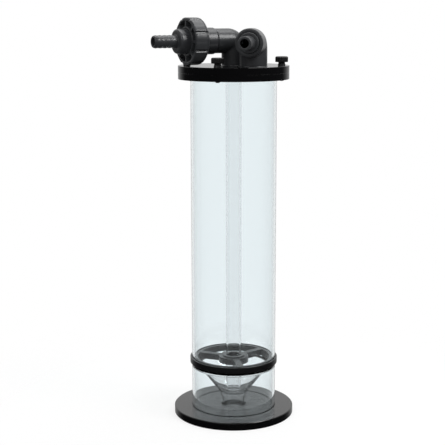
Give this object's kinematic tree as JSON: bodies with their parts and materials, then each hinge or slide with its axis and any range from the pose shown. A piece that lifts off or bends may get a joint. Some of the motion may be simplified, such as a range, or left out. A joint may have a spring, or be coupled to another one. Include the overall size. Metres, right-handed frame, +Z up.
{
  "type": "aquarium media reactor",
  "caption": "Clear upright water-treatment tube on a round base, with a spoked ring, a funnel, a screwed-on lid, an inlet union and an outlet elbow.",
  "frame": {"origin": "centre of the base plate's underside, on the tube's axis", "axes": "+Z up along the tube; the inlet points to 210 degrees from +X and the outlet to 260 degrees, so -Y is the front"},
  "size_m": [0.1798, 0.1727, 0.5179],
  "materials": {
    "clear_acrylic": "clear, polished",
    "base_acrylic": "satin",
    "ring_plastic": "semi-gloss",
    "black_acrylic": "polished",
    "grey_pvc": "satin moulded",
    "screw_nylon": "moulded",
    "seal_rubber": "matte"
  },
  "bodies": {
    "vessel": {"base_plate": "base_acrylic", "lower_tube": "clear_acrylic", "funnel": "clear_acrylic", "flow_spider": "ring_plastic", "pipe_guide_bush": "ring_plastic", "main_tube": "clear_acrylic", "tube_flange": "black_acrylic", "lid_seal": "seal_rubber"},
    "lid": {"lid_plate": "black_acrylic", "feed_pipe": "clear_acrylic", "inlet_elbow": "grey_pvc", "union_nipple": "grey_pvc", "union_body": "grey_pvc", "union_seal": "seal_rubber", "outlet_stub_pipe": "grey_pvc", "outlet_elbow": "grey_pvc", "outlet_bush": "grey_pvc", "outlet_hose_tail": "grey_pvc"},
    "hose_tail": {"inlet_hose_tail": "grey_pvc"},
    "union_nut": {"union_nut": "grey_pvc"},
    "washer_1": {"screw_washer_1": "screw_nylon"},
    "screw_1": {"thumb_screw_1": "screw_nylon"},
    "washer_2": {"screw_washer_2": "screw_nylon"},
    "screw_2": {"thumb_screw_2": "screw_nylon"},
    "washer_3": {"screw_washer_3": "screw_nylon"},
    "screw_3": {"thumb_screw_3": "screw_nylon"},
    "washer_4": {"screw_washer_4": "screw_nylon"},
    "screw_4": {"thumb_screw_4": "screw_nylon"}
  },
  "joints": [
    {"name": "lid_lift", "type": "slide", "parent": "vessel", "child": "lid", "axis": [0, 0, 1], "range_m": [0, 0.43]},
    {"name": "union_release", "type": "slide", "parent": "lid", "child": "hose_tail", "axis": [-0.866, -0.5, 0], "range_m": [0, 0.009]},
    {"name": "union_nut_turn", "type": "hinge", "parent": "hose_tail", "child": "union_nut", "pos_m": [-0.0504, -0.0291, 0.4885], "axis": [-0.866, -0.5, 0], "range_deg": [0, 1080]},
    {"name": "screw_1_rise", "type": "slide", "parent": "lid", "child": "washer_1", "axis": [0, 0, 1], "range_m": [0, 0.01]},
    {"name": "screw_1_turn", "type": "hinge", "parent": "washer_1", "child": "screw_1", "pos_m": [0.01947, 0.05992, 0.4576], "axis": [0, 0, 1], "range_deg": [0, 3600]},
    {"name": "screw_2_rise", "type": "slide", "parent": "lid", "child": "washer_2", "axis": [0, 0, 1], "range_m": [0, 0.01]},
    {"name": "screw_2_turn", "type": "hinge", "parent": "washer_2", "child": "screw_2", "pos_m": [-0.05992, 0.01947, 0.4576], "axis": [0, 0, 1], "range_deg": [0, 3600]},
    {"name": "screw_3_rise", "type": "slide", "parent": "lid", "child": "washer_3", "axis": [0, 0, 1], "range_m": [0, 0.01]},
    {"name": "screw_3_turn", "type": "hinge", "parent": "washer_3", "child": "screw_3", "pos_m": [-0.01947, -0.05992, 0.4576], "axis": [0, 0, 1], "range_deg": [0, 3600]},
    {"name": "screw_4_rise", "type": "slide", "parent": "lid", "child": "washer_4", "axis": [0, 0, 1], "range_m": [0, 0.01]},
    {"name": "screw_4_turn", "type": "hinge", "parent": "washer_4", "child": "screw_4", "pos_m": [0.05992, -0.01947, 0.4576], "axis": [0, 0, 1], "range_deg": [0, 3600]}
  ],
  "couplings": [
    {"joint": "union_nut_turn", "follows": "union_release", "rad_per_m": 2094},
    {"joint": "screw_1_turn", "follows": "screw_1_rise", "rad_per_m": 6283},
    {"joint": "screw_2_turn", "follows": "screw_2_rise", "rad_per_m": 6283},
    {"joint": "screw_3_turn", "follows": "screw_3_rise", "rad_per_m": 6283},
    {"joint": "screw_4_turn", "follows": "screw_4_rise", "rad_per_m": 6283}
  ]
}
